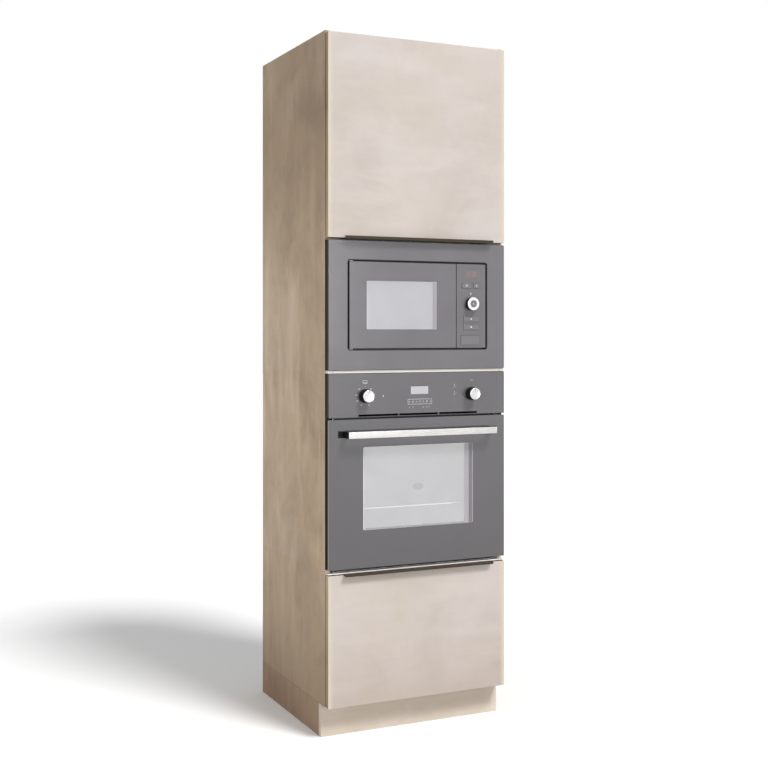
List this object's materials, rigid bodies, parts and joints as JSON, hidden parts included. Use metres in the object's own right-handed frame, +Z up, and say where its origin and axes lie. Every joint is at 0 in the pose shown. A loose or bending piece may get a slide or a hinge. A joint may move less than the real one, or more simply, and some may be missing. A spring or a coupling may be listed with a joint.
{
  "type": "tall oven housing unit",
  "caption": "Tall kitchen cabinet with a built-in oven and microwave, a hinged door above, a pull-out drawer below and a recessed plinth.",
  "frame": {"origin": "on the floor under the middle of the bounding box", "axes": "+Z up, the doors face -Y, +X to the right seen from the front"},
  "size_m": [0.6, 0.622, 2.1],
  "materials": {
    "side_board": "laminated board with a vertical grain",
    "front_board": "laminated board, pale, matt",
    "plinth_board": "laminated board, matt",
    "drawer_board": "melamine",
    "bronze": "bronze anodised",
    "steel": "zinc plated",
    "appliance_glass": "grey toughened glass",
    "clear_glass": "clear",
    "display": "gloss",
    "dark_display": "gloss",
    "black_plastic": "matt",
    "grey_plastic": "satin",
    "pale_plastic": "matt",
    "enamel": "vitreous enamel",
    "pale_enamel": "painted",
    "grey_panel": "gloss paint",
    "chrome": "polished",
    "element": "oxidised tube",
    "seal": "silicone"
  },
  "bodies": {
    "cabinet": {"side_panel_left": "side_board", "side_panel_right": "side_board", "top_panel": "front_board", "bottom_panel": "front_board", "upper_fixed_shelf": "front_board", "niche_shelves": "front_board", "back_panels": "front_board", "loose_shelf": "front_board", "shelf_pins": "steel", "plinth_front": "plinth_board", "plinth_sides": "side_board", "levelling_legs": "black_plastic", "levelling_feet": "black_plastic", "door_hinge_arms": "steel", "runner_cabinet_rails": "steel", "oven_casing": "steel", "oven_cavity": "enamel", "oven_front_frame": "enamel", "oven_door_seal": "seal", "oven_control_panel": "grey_panel", "oven_display": "display", "oven_rack_ladders": "chrome", "oven_grill_element": "element", "oven_fan_cover": "enamel", "oven_hinge_brackets": "steel", "microwave_trim": "grey_panel", "microwave_casing": "steel", "microwave_cavity": "pale_enamel", "microwave_support": "steel", "microwave_control_panel": "grey_plastic", "microwave_display": "dark_display"},
    "upper_door": {"upper_door_panel": "front_board", "upper_door_pull": "bronze", "door_hinge_cups": "steel"},
    "hinge_links": {"door_hinge_links": "steel"},
    "drawer": {"drawer_front": "front_board", "drawer_pull": "bronze", "drawer_sides": "drawer_board", "drawer_back": "drawer_board", "drawer_bottom": "drawer_board", "runner_drawer_rails": "steel"},
    "middle_rails": {"runner_middle_rails": "steel"},
    "oven_door": {"oven_door_glass": "appliance_glass", "oven_door_frame": "black_plastic", "oven_inner_glass": "clear_glass", "oven_handle": "chrome", "oven_hinge_arms": "steel"},
    "rack": {"oven_rack": "chrome"},
    "left_oven_knob": {"oven_knob_left": "chrome"},
    "right_oven_knob": {"oven_knob_right": "chrome"},
    "microwave_door": {"microwave_door_frame": "black_plastic", "microwave_door_glass": "appliance_glass"},
    "timer_knob": {"microwave_knob": "black_plastic"},
    "clock_key": {"clock_button": "grey_plastic"},
    "power_key": {"power_button": "grey_plastic"},
    "start_key": {"start_button": "grey_plastic"},
    "stop_key": {"stop_button": "grey_plastic"},
    "door_release_key": {"door_release_button": "grey_plastic"},
    "turntable_plate": {"turntable": "clear_glass"},
    "rollers": {"roller_ring": "pale_plastic"}
  },
  "joints": [
    {"name": "upper_door_hinge", "type": "hinge", "parent": "cabinet", "child": "upper_door", "pos_m": [-0.292, -0.264, 1.79], "axis": [0, 0, -1], "range_deg": [0, 95]},
    {"name": "hinge_link_pivot", "type": "hinge", "parent": "cabinet", "child": "hinge_links", "pos_m": [-0.262, -0.245, 1.79], "axis": [0, 0, 1], "range_deg": [0, 25.65]},
    {"name": "drawer_slide", "type": "slide", "parent": "cabinet", "child": "drawer", "axis": [0, -1, 0], "range_m": [0, 0.48]},
    {"name": "middle_rail_slide", "type": "slide", "parent": "cabinet", "child": "middle_rails", "axis": [0, -1, 0], "range_m": [0, 0.24]},
    {"name": "oven_door_hinge", "type": "hinge", "parent": "cabinet", "child": "oven_door", "pos_m": [0, -0.257, 0.511], "axis": [1, 0, 0], "range_deg": [0, 90]},
    {"name": "rack_slide", "type": "slide", "parent": "cabinet", "child": "rack", "axis": [0, -1, 0], "range_m": [0, 0.02]},
    {"name": "left_knob_turn", "type": "hinge", "parent": "cabinet", "child": "left_oven_knob", "pos_m": [-0.1795, -0.284, 1.0166], "axis": [0, 1, 0], "continuous": true},
    {"name": "right_knob_turn", "type": "hinge", "parent": "cabinet", "child": "right_oven_knob", "pos_m": [0.1795, -0.284, 1.0166], "axis": [0, 1, 0], "range_deg": [0, 270]},
    {"name": "microwave_door_hinge", "type": "hinge", "parent": "cabinet", "child": "microwave_door", "pos_m": [-0.223, -0.261, 1.288], "axis": [0, 0, -1], "range_deg": [0, 100]},
    {"name": "timer_knob_turn", "type": "hinge", "parent": "cabinet", "child": "timer_knob", "pos_m": [0.1795, -0.279, 1.2945], "axis": [0, 1, 0], "continuous": true},
    {"name": "clock_button_press", "type": "slide", "parent": "cabinet", "child": "clock_key", "axis": [0, 1, 0], "range_m": [0, 0.0015], "stiffness_N_per_m": 600},
    {"name": "power_button_press", "type": "slide", "parent": "cabinet", "child": "power_key", "axis": [0, 1, 0], "range_m": [0, 0.0015], "stiffness_N_per_m": 600},
    {"name": "start_button_press", "type": "slide", "parent": "cabinet", "child": "start_key", "axis": [0, 1, 0], "range_m": [0, 0.0015], "stiffness_N_per_m": 600},
    {"name": "stop_button_press", "type": "slide", "parent": "cabinet", "child": "stop_key", "axis": [0, 1, 0], "range_m": [0, 0.0015], "stiffness_N_per_m": 600},
    {"name": "door_release_button_press", "type": "slide", "parent": "cabinet", "child": "door_release_key", "axis": [0, 1, 0], "range_m": [0, 0.0015], "stiffness_N_per_m": 600},
    {"name": "turntable_spin", "type": "hinge", "parent": "cabinet", "child": "turntable_plate", "pos_m": [-0.05, -0.0765, 1.19], "axis": [0, 0, 1], "continuous": true},
    {"name": "roller_ring_spin", "type": "hinge", "parent": "cabinet", "child": "rollers", "pos_m": [-0.05, -0.0765, 1.186], "axis": [0, 0, 1], "continuous": true}
  ],
  "couplings": [
    {"joint": "hinge_link_pivot", "follows": "upper_door_hinge", "ratio": 0.27},
    {"joint": "middle_rail_slide", "follows": "drawer_slide", "ratio": 0.5},
    {"joint": "roller_ring_spin", "follows": "turntable_spin", "ratio": 0.5}
  ]
}
